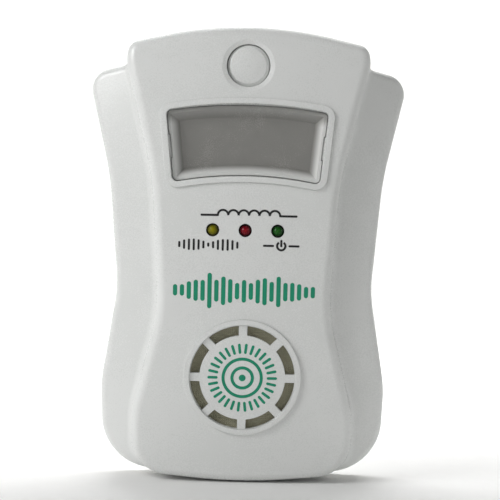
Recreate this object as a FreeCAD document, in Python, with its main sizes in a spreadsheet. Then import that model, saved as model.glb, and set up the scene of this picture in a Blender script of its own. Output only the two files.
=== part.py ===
import FreeCAD, Part
import Sketcher
import math
import os
import re

# Plug-in ultrasonic pest repeller, built as separate parts.
# Drawing frame of every part: x to the right, y up, z towards the room.
# place() turns that frame so the device faces -Y with +Z up and the wall at Y = 0.

V = FreeCAD.Vector
doc = FreeCAD.newDocument("pest_repeller")
sheet = doc.addObject("Spreadsheet::Sheet", "Sizes")

SIZES = [
    # shell
    ("wall_thk", 2.0), ("floor_thk", 2.2), ("split_depth", 10.0),
    ("crest_up", -10.0), ("panel_front", 35.2), ("panel_crown", 260.0), ("panel_bow", 320.0),
    ("wing_front", 31.0), ("wing_crown", 115.0), ("wing_bow", 420.0),
    ("shoulder_half", 48.2), ("waist_half", 37.75), ("foot_half", 42.95), ("bottom_up", -101.0),
    ("panel_top_half", 35.9), ("panel_waist_half", 25.0), ("panel_foot_half", 32.9),
    ("panel_edge_round", 3.0), ("wing_edge_round", 2.6), ("cove_round", 2.4), ("back_edge_round", 1.6),
    ("lap_offset", 1.0), ("lap_rise", 1.6), ("lap_gap", 0.1),
    # night-light window and its lens
    ("window_top_half", 23.8), ("window_foot_half", 21.5), ("window_top_up", 5.9),
    ("window_foot_up", -15.3), ("window_corner", 1.8), ("bead_width", 1.7), ("bead_rise", 0.6),
    ("well_back", 28.5), ("well_draft", 8.0),
    ("well_inset", 0.3), ("well_mouth", 33.0), ("lens_gap", 0.15), ("lens_rim", 33.4), ("lens_strip", 1.0),
    ("lens_dish", 2.2), ("lens_thk", 1.7), ("tab_height", 6.5), ("tab_up", -4.6), ("tab_reach", 0.35),
    # push button and switch
    ("button_up", 19.1), ("button_width", 12.2), ("button_gap", 0.2), ("button_top", 33.4),
    ("button_lip", 1.0),
    ("sleeve_back", 26.8), ("dish_margin", 1.7), ("dish_depth", 0.7), ("switch_side", 8.5),
    ("switch_height", 5.0),
    ("plunger_side", 3.0), ("plunger_top", 26.4),
    # indicator lamps
    ("lamp_up", -28.7), ("lamp_pitch", 9.4), ("lamp_width", 3.0), ("lamp_gap", 0.4), ("lamp_tip", 35.1),
    # sound grille and speaker
    ("grille_up", -71.8), ("slot_inner", 12.6), ("slot_outer", 15.4), ("spoke_width", 2.5),
    ("ring_rise", 0.7),
    ("screen_thk", 0.4), ("speaker_seat", 22.5), ("gasket_thk", 0.8), ("speaker_screw_width", 1.9),
    # board
    ("board_back", 16.0), ("board_thk", 1.6), ("board_half", 30.5), ("board_top_up", 24.0),
    ("board_foot_up", -50.0),
    ("board_screw_top_x", 27.5), ("board_screw_top_up", 14.0),
    ("board_screw_foot_x", 19.0), ("board_screw_foot_up", -46.0), ("board_screw_width", 2.4),
    ("pilot_gap", 0.05),
    # case screws
    ("case_screw_top_x", 38.0), ("case_screw_top_up", 8.0), ("case_screw_foot_x", 34.5),
    ("case_screw_foot_up", -86.0), ("case_screw_width", 2.9),
    # plug
    ("blade_spacing", 12.7), ("blade_width", 6.35), ("blade_thk", 1.5), ("blade_length", 17.0),
    ("insert_width", 32.0), ("insert_height", 20.0), ("insert_front", 7.6), ("clamp_thk", 2.0),
    ("clamp_screw_x", 11.5), ("clamp_screw_width", 1.8),
    # field coil
    ("coil_up", -75.5), ("coil_fwd", 8.2), ("core_width", 6.0), ("core_length", 47.0),
    ("bobbin_half", 18.0),
    ("bobbin_flange", 11.0),
]

# sizes that follow from the driving ones, so that what fits together stays together
WORKED_OUT = {
    "button_hole": "button_width+2*button_gap",
    "button_flange": "button_hole+2*button_lip",
    "dish_width": "button_hole+2*dish_margin",
    "lamp_hole": "lamp_width+2*lamp_gap",
    "ring_inner": "slot_outer+0.2",
    "ring_outer": "slot_outer+1.8",
    "mouth_half": "slot_outer+1",
    "speaker_half": "mouth_half+3.1",
    "speaker_screw_x": "speaker_half+3",
    "case_screw_head": "case_screw_width+2.5",
    "case_post": "case_screw_width/2+2",
    "case_screw_hole": "case_screw_width+0.3",
}

NAMES = set()
for row, (alias, size) in enumerate(SIZES, 1):
    sheet.set(f"A{row}", alias)
    sheet.set(f"B{row}", str(size))
    sheet.setAlias(f"B{row}", alias)
    NAMES.add(alias)
doc.recompute()

PARTS = []


def full(expr):
    """Expression text with the worked-out sizes spelled out and every driving size pointed at the sheet."""
    def spell(match):
        word = match.group()
        if word in WORKED_OUT:
            return f"({full(WORKED_OUT[word])})"
        return "Sizes." + word if word in NAMES else word

    return re.sub(r"[A-Za-z_]\w*", spell, str(expr))


def num(expr):
    """Present value of an expression."""
    got = sheet.evalExpression(full(expr))
    return float(getattr(got, "Value", got))


def bind(obj, prop, expr):
    """Tie one property to the sheet; plain numbers are set directly."""
    obj.setExpression(prop, full(expr))


def at(obj, x=0, y=0, z=0, rot=None):
    """Put an object at x, y, z of the drawing frame."""
    obj.Placement = FreeCAD.Placement(V(num(x), num(y), num(z)), rot or FreeCAD.Rotation())
    for axis, expr in zip("xyz", (x, y, z)):
        bind(obj, f"Placement.Base.{axis}", expr)
    return obj


def place(obj, label, x=0, up=0, fwd=0):
    """Finish a sub-part: label it and stand it in the device."""
    if obj.TypeId in ("Part::Box", "Part::Cylinder"):
        obj = group(obj)
    obj.Label = label
    obj.Placement = FreeCAD.Placement(V(num(x), -num(fwd), num(up)), FreeCAD.Rotation(V(1, 0, 0), 90))
    bind(obj, "Placement.Base.x", x)
    bind(obj, "Placement.Base.y", f"-({fwd})")
    bind(obj, "Placement.Base.z", up)
    PARTS.append(obj)
    return obj


TURN = {
    "z": FreeCAD.Rotation(),
    "x": FreeCAD.Rotation(V(0, 1, 0), 90),
    "y": FreeCAD.Rotation(V(1, 0, 0), -90),
}


def block(x, y, z, sx, sy, sz):
    """Box centred on x and y, standing on z."""
    b = doc.addObject("Part::Box", "block")
    for prop, expr in (("Length", sx), ("Width", sy), ("Height", sz)):
        bind(b, prop, expr)
    return at(b, f"({x})-({sx})/2", f"({y})-({sy})/2", z)


def rod(x, y, z, radius, length, axis="z"):
    """Cylinder starting at x, y, z and running along one axis."""
    c = doc.addObject("Part::Cylinder", "rod")
    bind(c, "Radius", radius)
    bind(c, "Height", length)
    return at(c, x, y, z, TURN[axis])


def ring(x, y, z, outer, inner, length, axis="z"):
    """Plain tube."""
    bore = {"x": f"({x})-1", "y": f"({y})-1", "z": f"({z})-1"}[axis]
    start = [x, y, z]
    start["xyz".index(axis)] = bore
    return cut(rod(x, y, z, outer, length, axis), rod(*start, inner, f"({length})+2", axis))


def cone(x, y, z, r_start, r_end, length):
    """Cone frustum standing on z."""
    c = doc.addObject("Part::Cone", "cone")
    bind(c, "Radius1", r_start)
    bind(c, "Radius2", r_end)
    bind(c, "Height", length)
    return at(c, x, y, z)


def dome(x, y, z, radius):
    """Half ball facing the room."""
    s = doc.addObject("Part::Sphere", "dome")
    bind(s, "Radius", radius)
    s.Angle1 = 0
    return at(s, x, y, z)


def join(*items):
    """One solid from several."""
    j = doc.addObject("Part::MultiFuse", "join")
    j.Shapes = list(items)
    j.Refine = True
    return j


def cut(base, *tools):
    """The base less every tool."""
    c = doc.addObject("Part::Cut", "cut")
    c.Base = base
    c.Tool = tools[0] if len(tools) == 1 else join(*tools)
    return c


def overlap(base, tool):
    """What two solids share."""
    c = doc.addObject("Part::Common", "overlap")
    c.Base = base
    c.Tool = tool
    return c


def group(*items):
    """Separate solids kept together as one node."""
    g = doc.addObject("Part::Compound", "group")
    g.Links = list(items)
    return g


def origin_plane(body, role):
    return next(f for f in body.Origin.OriginFeatures if f.Role == role)


def body_sketch(body, role, name):
    sk = body.newObject("Sketcher::SketchObject", name)
    sk.AttachmentSupport = [(origin_plane(body, role), "")]
    sk.MapMode = "FlatFace"
    return sk


def mirrored(half):
    """Close a right-hand half outline, top point to bottom point, with its mirror image."""
    return list(half) + [(f"-({x})", y, r) for x, y, r in reversed(half[1:-1])]


def draw(sk, corners, closed=True):
    """Lines through the corners with a tangent arc at each; corners and radii are all driven by size."""
    pts = [V(num(x), num(y), 0) for x, y, _ in corners]
    radii = [num(r) for *_, r in corners]
    count = len(pts)
    rounded = [i for i in range(count) if radii[i] > 0 and (closed or 0 < i < count - 1)]
    enter, leave, arcs, left_turn = list(pts), list(pts), {}, {}
    for i in rounded:
        before, here, after = pts[i - 1], pts[i], pts[(i + 1) % count]
        to_before = (before - here).normalize()
        to_after = (after - here).normalize()
        angle = to_before.getAngle(to_after)
        reach = radii[i] / math.tan(angle / 2)
        enter[i] = here + to_before * reach
        leave[i] = here + to_after * reach
        centre = here + (to_before + to_after).normalize() * (radii[i] / math.sin(angle / 2))
        left_turn[i] = (here - before).cross(after - here).z > 0
        first, last = (enter[i], leave[i]) if left_turn[i] else (leave[i], enter[i])
        circle = Part.Circle(centre, V(0, 0, 1), radii[i])
        ends = [math.atan2(p.y - centre.y, p.x - centre.x) for p in (first, last)]
        arcs[i] = Part.ArcOfCircle(circle, *ends)
    spans = range(count) if closed else range(1, count)
    line = {i: sk.addGeometry(Part.LineSegment(leave[i - 1], enter[i])) for i in spans}
    arc = {i: sk.addGeometry(arcs[i]) for i in rounded}
    mark = {i: sk.addGeometry(Part.Point(pts[i]), True) for i in rounded}
    C = Sketcher.Constraint
    rules, driven = [], []
    for i in range(count):
        after = (i + 1) % count
        if i in arc:
            start, end = (1, 2) if left_turn[i] else (2, 1)
            rules.append(C("Tangent", line[i], 2, arc[i], start))
            rules.append(C("Tangent", arc[i], end, line[after], 1))
            rules.append(C("PointOnObject", mark[i], 1, line[i]))
            rules.append(C("PointOnObject", mark[i], 1, line[after]))
            holder = (mark[i], 1)
            driven.append((C("Radius", arc[i], radii[i]), corners[i][2]))
        elif i in line:
            holder = (line[i], 2)
            if closed or after in line:
                rules.append(C("Coincident", line[i], 2, line[after], 1))
        else:
            holder = (line[after], 1)
        driven.append((C("DistanceX", -1, 1, *holder, pts[i].x), corners[i][0]))
        driven.append((C("DistanceY", -1, 1, *holder, pts[i].y), corners[i][1]))
    sk.addConstraint(rules + [rule for rule, _ in driven])
    for k, (_, expr) in enumerate(driven, len(rules)):
        if isinstance(expr, str):
            bind(sk, f"Constraints[{k}]", expr)
    return sk


def crown_sketch(sk, front, crown, bow):
    """Region in front of a crowned face: arc of radius crown, and a construction axis for the bow."""
    depth, radius, swing = num(front), num(crown), num(bow)
    half, far = 60.0, 90.0
    mid = depth - radius
    edge = mid + math.sqrt(radius ** 2 - half ** 2)
    lean = math.atan2(edge - mid, half)
    face = Part.ArcOfCircle(Part.Circle(V(0, mid, 0), V(0, 0, 1), radius), lean, math.pi - lean)
    g = sk.addGeometry([
        face,
        Part.LineSegment(V(-half, edge, 0), V(-half, far, 0)),
        Part.LineSegment(V(-half, far, 0), V(half, far, 0)),
        Part.LineSegment(V(half, far, 0), V(half, edge, 0)),
    ])
    axis = sk.addGeometry(Part.LineSegment(V(-10, depth - swing, 0), V(10, depth - swing, 0)), True)
    C = Sketcher.Constraint
    rules = [C("Coincident", g[i], 2, g[i + 1 if i < 3 else 0], 1) for i in range(4)]
    rules += [C("Vertical", g[1]), C("Vertical", g[3]), C("Horizontal", g[2]), C("Horizontal", axis)]
    rules += [C("PointOnObject", g[0], 3, -2), C("DistanceX", -1, 1, g[2], 2, half)]
    rules += [C("DistanceX", g[2], 1, -1, 1, half), C("DistanceY", -1, 1, g[2], 2, far)]
    rules += [C("DistanceX", axis, 1, -1, 1, 10), C("DistanceX", -1, 1, axis, 2, 10)]
    driven = [
        (C("Radius", g[0], radius), crown),
        (C("DistanceY", g[0], 3, -1, 1, -mid), f"({crown})-({front})"),
        (C("DistanceY", axis, 1, -1, 1, swing - depth), f"({bow})-({front})"),
    ]
    sk.addConstraint(rules + [rule for rule, _ in driven])
    for k, (_, expr) in enumerate(driven, len(rules)):
        bind(sk, f"Constraints[{k}]", expr)
    return sk


def round_edges(obj, edges, radius):
    """Part fillet over the edges that a test picks."""
    doc.recompute()
    f = doc.addObject("Part::Fillet", "rounded")
    f.Base = obj
    f.Edges = [(i, num(radius), num(radius)) for i, e in enumerate(obj.Shape.Edges, 1) if edges(e)]
    return f


def crowned_body(name, corners, front, crown, bow, edge_round):
    """Outline padded forward, its front ground to a crowned face, and that face's rim rounded."""
    body = doc.addObject("PartDesign::Body", name)
    outline = body_sketch(body, "XY_Plane", name + "_outline")
    draw(outline, mirrored(corners))
    pad = body.newObject("PartDesign::Pad", name + "_pad")
    pad.Profile = outline
    bind(pad, "Length", f"{front}+8")
    region = body_sketch(body, "XZ_Plane", name + "_region")
    bind(region, "AttachmentOffset.Base.z", "-crest_up")
    crown_sketch(region, front, crown, bow)
    face = body.newObject("PartDesign::Groove", name + "_face")
    face.Profile = region
    face.ReferenceAxis = (region, ["Axis0"])
    face.Angle = 70
    face.Midplane = True
    doc.recompute()
    crowned = [f for f in face.Shape.Faces
               if f.Surface.TypeId in ("Part::GeomToroid", "Part::GeomSurfaceOfRevolution")]
    rim = [f"Edge{i}" for i, e in enumerate(face.Shape.Edges, 1)
           if any(e.isSame(k) for k in crowned[0].Edges)]
    soft = body.newObject("PartDesign::Fillet", name + "_rim")
    soft.Base = (face, rim)
    bind(soft, "Radius", edge_round)
    return body, outline


def prism(outline, offset, z0, z1):
    """Any outline grown or shrunk by offset and run from z0 to z1."""
    flat = outline
    if offset != 0:
        flat = doc.addObject("Part::Offset2D", "offset")
        flat.Source = outline
        flat.Mode = "Pipe"
        flat.Join = "Arc"
        bind(flat, "Value", offset)
    run = doc.addObject("Part::Extrusion", "prism")
    run.Base = flat
    run.DirMode = "Custom"
    run.Dir = V(0, 0, 1)
    run.Solid = True
    bind(run, "LengthFwd", f"({z1})-({z0})")
    return at(run, 0, 0, z0)


def flare(offset, z0, z1, draft):
    """Window outline run forward from z0 to z1, opening out at a draft angle."""
    flat = doc.addObject("Part::Offset2D", "offset")
    flat.Source = window_line
    flat.Mode = "Pipe"
    flat.Join = "Arc"
    bind(flat, "Value", offset)
    run = doc.addObject("Part::Extrusion", "flare")
    run.Base = flat
    run.DirMode = "Custom"
    run.Dir = V(0, 0, 1)
    run.Solid = True
    bind(run, "LengthFwd", f"({z1})-({z0})")
    bind(run, "TaperAngle", draft)
    return at(run, 0, 0, z0)


def under_crown(run, front, crown, bow, drop):
    """Trim a prism to the crowned face set back by drop."""
    sk = doc.addObject("Sketcher::SketchObject", "crown_region")
    sk.Placement = FreeCAD.Placement(V(0, num("crest_up"), 0), FreeCAD.Rotation(V(1, 0, 0), 90))
    bind(sk, "Placement.Base.y", "crest_up")
    crown_sketch(sk, f"{front}-({drop})", f"{crown}-({drop})", f"{bow}-({drop})")
    rev = doc.addObject("Part::Revolution", "crown_cutter")
    rev.Source = sk
    rev.Axis = V(1, 0, 0)
    rev.Base = V(0, num("crest_up"), num(f"{front}-{bow}"))
    bind(rev, "Base.y", "crest_up")
    bind(rev, "Base.z", f"{front}-{bow}")
    rev.Angle = 70
    rev.Symmetric = True
    rev.Solid = True
    return cut(run, rev)


def grille_band(run, width, near, far):
    """What a run on the grille axis keeps between two set-backs from the panel's face."""
    rest = rod(0, "grille_up", "speaker_seat-6", width, 26)
    near, far = [under_crown(item, "panel_front", "panel_crown", "panel_bow", drop)
                 for item, drop in ((run, near), (rest, far))]
    return cut(near, far)


def panel_skin(x, y, drop):
    """Height of the raised panel at x, y, less a drop."""
    return f"(panel_front-(({y})-crest_up)^2/2/panel_bow-({x})^2/2/panel_crown-({drop}))"


def wing_skin(x, y, drop):
    return f"(wing_front-(({y})-crest_up)^2/2/wing_bow-({x})^2/2/wing_crown-({drop}))"


def turned(name, profile):
    """Solid of revolution about z from a list of radius, height corners."""
    body = doc.addObject("PartDesign::Body", name)
    sk = body_sketch(body, "XZ_Plane", name + "_profile")
    draw(sk, [(r, z, 0) for r, z in profile])
    rev = body.newObject("PartDesign::Revolution", name + "_turn")
    rev.Profile = sk
    rev.ReferenceAxis = (sk, ["V_Axis"])
    rev.Angle = 360
    return body


# ---------------------------------------------------------------- outlines

WING = [
    (0, 27.5, 20), ("shoulder_half", 17.75, 6), ("waist_half+2.96", -12.5, 90), ("waist_half", -46.3, 40),
    ("foot_half", -75, 30), ("foot_half-0.9", "bottom_up", 15.5), (0, "bottom_up+0.5", 50),
]
PANEL = [
    (0, 33.3, 120), ("panel_top_half-0.7", 25.8, 4), ("panel_top_half", 20.5, 9),
    ("panel_waist_half+2.45", -13.8, 90),
    ("panel_waist_half", -52.4, 55), ("panel_foot_half", -82.6, 25),
    ("panel_foot_half+0.1", "bottom_up-0.4", 11),
    (0, "bottom_up-3.2", 170),
]
WINDOW = [
    (0, "window_top_up+3.6", "0.87*window_top_half^2/3.6"),
    ("window_top_half", "window_top_up", "window_corner"),
    ("window_foot_half", "window_foot_up", "window_corner"),
    (0, "window_foot_up+3.83", "0.87*window_foot_half^2/3.83"),
]

wing_body, wing_line = crowned_body("wing", WING, "wing_front", "wing_crown", "wing_bow", "wing_edge_round")
panel_body, panel_line = crowned_body("panel", PANEL, "panel_front", "panel_crown", "panel_bow",
                                      "panel_edge_round")
window_line = doc.addObject("Sketcher::SketchObject", "window_outline")
draw(window_line, mirrored(WINDOW))
doc.recompute()

CASE_POSTS = [
    (f"{side}*case_screw_{row}_x", f"case_screw_{row}_up") for row in ("top", "foot") for side in (-1, 1)
]
BOARD_POSTS = [
    (f"{side}*board_screw_{row}_x", f"board_screw_{row}_up") for row in ("top", "foot") for side in (-1, 1)
]
SPEAKER_POSTS = [(f"{side}*speaker_screw_x", "grille_up") for side in (-1, 1)]
LAMPS = [("yellow", -1), ("red", 0), ("green", 1)]


# ---------------------------------------------------------------- front cover

def front_cover():
    """Raised panel blended into the wings, hollowed, with posts, window well, grille and button sleeve."""
    hull = join(wing_body, panel_body)
    hull.Refine = False
    doc.recompute()
    shape = hull.Shape
    crowns = [f for f in shape.Faces if f.Surface.TypeId == "Part::GeomToroid"]

    def in_cove(edge):
        """True for an inside corner between a crowned face and its neighbour."""
        if not any(edge.isSame(k) for f in crowns for k in f.Edges):
            return False
        sides = [f for f in shape.Faces if any(edge.isSame(k) for k in f.Edges)]
        mid = edge.valueAt((edge.FirstParameter + edge.LastParameter) / 2)
        n = [f.normalAt(*f.Surface.parameter(mid)) for f in sides]
        if len(n) != 2 or n[0].getAngle(n[1]) < 0.25:
            return False
        step = (n[0] - n[1]) * 0.2
        return shape.isInside(mid + step, 1e-4, True) and shape.isInside(mid - step, 1e-4, True)

    coved = round_edges(hull, in_cove, "cove_round")
    outer = cut(coved, block(0, -35, "-20", 200, 250, "20+split_depth"))
    hollow_wing = under_crown(prism(wing_line, "-wall_thk", "split_depth-1", "wing_front+8"),
                              "wing_front", "wing_crown", "wing_bow", "wall_thk")
    hollow_panel = under_crown(prism(panel_line, "-wall_thk", "split_depth-1", "panel_front+8"),
                               "panel_front", "panel_crown", "panel_bow", "wall_thk")
    rebate = [prism(line, "-lap_offset", "split_depth-1", "split_depth+lap_rise+lap_gap*2")
              for line in (wing_line, panel_line)]
    shell = cut(outer, hollow_wing, hollow_panel, *rebate)
    well = under_crown(prism(window_line, "bead_width", "well_back", "panel_front+8"),
                       "panel_front", "panel_crown", "panel_bow", "-bead_rise")
    adds = [well]
    for x, y in CASE_POSTS:
        adds.append(rod(x, y, "split_depth+0.2", "case_post", f"{wing_skin(x, y, 2)}-split_depth-0.2"))
    for x, y in BOARD_POSTS:
        adds.append(rod(x, y, "board_back+board_thk", 3, f"{panel_skin(x, y, 1)}-board_back-board_thk"))
    for x, y in SPEAKER_POSTS:
        adds.append(rod(x, y, "speaker_seat-gasket_thk", 2.6,
                        f"{panel_skin(x, y, 1)}-speaker_seat+gasket_thk"))
    seat = ring(0, "grille_up", "speaker_seat", "speaker_half", "mouth_half", 10)
    adds.append(under_crown(seat, "panel_front", "panel_crown", "panel_bow", 1))
    bead = ring(0, "grille_up", "speaker_seat", "ring_outer", "ring_inner", 16)
    adds.append(grille_band(bead, "ring_outer+1", "-ring_rise", 1))
    sleeve = rod(0, "button_up", "sleeve_back", "button_hole/2+1.7", 10)
    adds.append(under_crown(sleeve, "panel_front", "panel_crown", "panel_bow", 1))
    solid = join(shell, *adds)
    holes = []
    holes.append(flare("-well_inset", "well_mouth", "panel_front+bead_rise+1", "well_draft"))
    holes.append(prism(window_line, "-well_inset", "well_back-1", "well_mouth+0.01"))
    holes.append(rod(0, "button_up", "sleeve_back-1", "button_hole/2", 12))
    slope = math.degrees(math.atan(num("(button_up-crest_up)/panel_bow")))
    dish = cone(0, "button_up-dish_depth*(button_up-crest_up)/panel_bow",
                panel_skin(0, "button_up", "dish_depth"),
                "button_hole/2-0.5", "dish_width-button_hole/2+0.5", "dish_depth*2")
    dish.Placement.Rotation = FreeCAD.Rotation(V(1, 0, 0), -slope)
    holes.append(dish)
    for _, side in LAMPS:
        holes.append(rod(f"{side}*lamp_pitch", "lamp_up", "panel_front-6", "lamp_hole/2", 9))
    slots = ring(0, "grille_up", "speaker_seat-1", "slot_outer", "slot_inner", 16)
    spokes = []
    for turn in range(4):
        bar = block(0, 0, 0, "slot_outer*2+4", "spoke_width", 20)
        spin = FreeCAD.Rotation(V(0, 0, 1), 45 * turn)
        lean = doc.addObject("Part::Compound", "spoke")
        lean.Links = [bar]
        spokes.append(at(lean, 0, "grille_up", "speaker_seat-3", spin))
    holes.append(cut(slots, *spokes))
    for x, y in CASE_POSTS:
        holes.append(rod(x, y, "split_depth-1", "case_screw_width/2+pilot_gap", 8))
    for x, y in BOARD_POSTS:
        holes.append(rod(x, y, "board_back", "board_screw_width/2+pilot_gap", 9))
    for x, y in SPEAKER_POSTS:
        holes.append(rod(x, y, "speaker_seat-3", "speaker_screw_width/2+pilot_gap", 7.4))
    band = overlap(prism(window_line, 0.5, "lens_rim-1", "lens_rim-0.3"),
                   block(0, "tab_up", "lens_rim-2", "window_top_half*2+6", "tab_height", 3))
    nibs = cut(band, prism(window_line, "-well_inset-tab_reach", "lens_rim-2", "lens_rim+1"))
    place(join(cut(solid, *holes), nibs), "front_cover")


# ---------------------------------------------------------------- rear cover and plug

def rear_cover():
    """Shallow tray with a lap tongue, case posts, plug seat, coil cradles and a label recess."""
    hull = join(prism(wing_line, 0, 0, "split_depth"), prism(panel_line, 0, 0, "split_depth"))

    def on_wall_side(edge):
        return edge.BoundBox.ZMax < 0.01

    soft = round_edges(hull, on_wall_side, "back_edge_round")
    hollow = [prism(line, "-wall_thk", "floor_thk", "split_depth+lap_rise+1")
              for line in (wing_line, panel_line)]
    tongue_out = join(*[prism(line, "-lap_offset-lap_gap", "split_depth-0.5", "split_depth+lap_rise")
                        for line in (wing_line, panel_line)])
    tray = cut(join(soft, tongue_out), *hollow)
    adds, holes = [], []
    for x, y in CASE_POSTS:
        adds.append(rod(x, y, "floor_thk-0.5", "case_post", "split_depth-floor_thk+0.5"))
        holes.append(rod(x, y, -1, "case_screw_hole/2", "split_depth+2"))
        holes.append(rod(x, y, -1, "case_screw_head/2+0.4", 6))
    for side in (-1, 1):
        adds.append(block(f"{side}*(core_length/2-1.5)", "coil_up", "floor_thk-0.5", 3, 14,
                          "coil_fwd-floor_thk+2"))
        adds.append(rod(f"{side}*clamp_screw_x", 0, "floor_thk-0.5", "clamp_screw_width/2+1.5",
                        "insert_front-floor_thk+0.5-1"))
        holes.append(rod(f"{side}*clamp_screw_x", 0, 1.0, "clamp_screw_width/2+pilot_gap", 10))
        holes.append(block(f"{side}*blade_spacing/2", 0, -1, "blade_thk+0.3", "blade_width+0.3", 6))
    holes.append(rod("-core_length/2-0.1", "coil_up", "coil_fwd", "core_width/2+0.03",
                     "core_length+0.2", "x"))
    holes.append(block(0, "coil_up", "coil_fwd", "core_length+0.2", "core_width+0.06", 6))
    holes.append(block(0, -50, -0.5, 42.3, 24.3, 0.8))
    place(cut(join(tray, *adds), *holes), "rear_cover")


def plug():
    """Blades with shoulders, the insert that locates them and the clamp plate screwed over them."""
    carrier = block(0, 0, "floor_thk", "insert_width", "insert_height", "insert_front-floor_thk")
    holes = []
    for side in (-1, 1):
        x = f"{side}*blade_spacing/2"
        holes.append(block(x, 0, 0, "blade_thk+0.2", "blade_width+0.2", 12))
        holes.append(block(x, 0, "insert_front-1.5", "blade_thk+0.2", "blade_width+3.2", 4))
        holes.append(rod(f"{side}*clamp_screw_x", 0, 0, "clamp_screw_width/2+1.6", "insert_front-1"))
        holes.append(rod(f"{side}*clamp_screw_x", 0, 0, "clamp_screw_width/2+0.3", 12))
    place(cut(carrier, *holes), "plug_insert")
    for label, side in (("neutral_blade", -1), ("live_blade", 1)):
        tongue = block(0, 0, "-blade_length", "blade_thk", "blade_width", "blade_length+insert_front-1.5")
        shoulder = block(0, 0, "insert_front-1.5", "blade_thk", "blade_width+3", 1.5)
        tail = block(0, 0, "insert_front", "blade_thk", 3, "clamp_thk+1.6")
        eye = rod(-2, 0, "-blade_length+3.2", 1.55, 4, "x")
        tip = []
        for end in (-1, 1):
            nose = block(0, 0, -3, "blade_thk+1", 4, 3)
            tilt = doc.addObject("Part::Compound", "nose")
            tilt.Links = [nose]
            tip.append(at(tilt, 0, f"{end}*blade_width/2", "-blade_length+0.7",
                          FreeCAD.Rotation(V(1, 0, 0), end * 45)))
        blade = join(tongue, shoulder, tail)
        place(cut(blade, eye, *tip), label, f"{side}*blade_spacing/2")
    plate = block(0, 0, "insert_front", "insert_width", 14, "clamp_thk")
    gaps = []
    for side in (-1, 1):
        gaps.append(block(f"{side}*blade_spacing/2", 0, 0, "blade_thk+0.3", 3.3, 20))
        gaps.append(rod(f"{side}*clamp_screw_x", 0, 0, "clamp_screw_width/2+0.3", 20))
    place(cut(plate, *gaps), "blade_clamp_plate")
    shank, head = "clamp_screw_width/2", "clamp_screw_width/2+1.1"
    screws = [turned("clamp_screw", [(0, -7.2), (shank, -6.4), (shank, 0), (head, 0), (head, 0.7),
                                     (f"{head}-0.6", 1.3), (0, 1.3)]) for _ in range(2)]
    for side, body in zip((-1, 1), screws):
        at(body, f"{side}*clamp_screw_x", 0, "insert_front+clamp_thk")
    place(group(*screws), "clamp_screws")


# ---------------------------------------------------------------- fasteners

def case_screws():
    """Four pan-head screws driven from the wall side into the front cover posts."""
    head, shank = "case_screw_head/2", "case_screw_width/2"
    screws = []
    for x, y in CASE_POSTS:
        body = turned("case_screw", [(0, 2.6), (head, 2.6), (head, 4.3), (f"{head}-0.5", 5), (shank, 5),
                                     (shank, 15), (0, 16)])
        screws.append(at(body, x, y, 0))
    recess = []
    for x, y in CASE_POSTS:
        recess += [block(x, y, 2, 3.2, 0.7, 1.8), block(x, y, 2, 0.7, 3.2, 1.8)]
    heads = [cut(body, *recess[2 * i:2 * i + 2]) for i, body in enumerate(screws)]
    place(group(*heads), "case_screws")


def small_screws(label, spots, seat, head, shank, length):
    """Screws driven forward: head behind the seat, shank in the post."""
    screws = []
    for x, y in spots:
        profile = [(0, -1.5), (head * 0.7, -1.5), (head, -0.8), (head, 0), (f"{shank}/2", 0),
                   (f"{shank}/2", length - 0.8), (0, length)]
        body = at(turned("screw", profile), x, y, seat)
        slot = block(x, y, f"{seat}-2", head * 1.5, 0.6, 1.2)
        cross = block(x, y, f"{seat}-2", 0.6, head * 1.5, 1.2)
        screws.append(cut(body, slot, cross))
    place(group(*screws), label)


# ---------------------------------------------------------------- board and what stands on it

def main_board():
    plate = block(0, "(board_top_up+board_foot_up)/2", "board_back", "board_half*2",
                  "board_top_up-board_foot_up",
                  "board_thk")
    holes = [rod(x, y, "board_back-1", "board_screw_width/2+0.3", 4) for x, y in BOARD_POSTS]
    for side in (-1, 1):
        holes.append(block(f"{side}*board_half", "board_foot_up", "board_back-1", 12, 22, 4))
    place(cut(plate, *holes), "main_board")


def small_lead(x, y, z0, z1, thk=0.6):
    return block(x, y, z0, thk, thk, f"({z1})-({z0})")


def indicator_lamps():
    """Three domed lamps on long leads, in one spacer block."""
    base = "lamp_tip-5.3"
    for colour, side in LAMPS:
        lamp = join(rod(0, 0, 0, "lamp_width/2+0.3", 0.9), rod(0, 0, 0, "lamp_width/2", 3.8),
                    dome(0, 0, 3.8, "lamp_width/2"))
        place(lamp, f"indicator_lamp_{colour}", f"{side}*lamp_pitch", "lamp_up", base)
    leads = []
    for _, side in LAMPS:
        for leg in (-1.27, 1.27):
            leads.append(small_lead(f"{side}*lamp_pitch+{leg}", "lamp_up", "board_back+board_thk",
                                    base, 0.5))
    place(group(*leads), "indicator_lamp_leads")
    spacer = block(0, "lamp_up", "board_back+board_thk", "lamp_pitch*2+7", 5.6,
                   f"{base}-0.2-board_back-board_thk")
    holes = [block(f"{side}*lamp_pitch+{leg}", "lamp_up", "board_back", 0.9, 0.9, 20)
             for _, side in LAMPS for leg in (-1.27, 1.27)]
    place(cut(spacer, *holes), "lamp_spacer")


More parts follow.
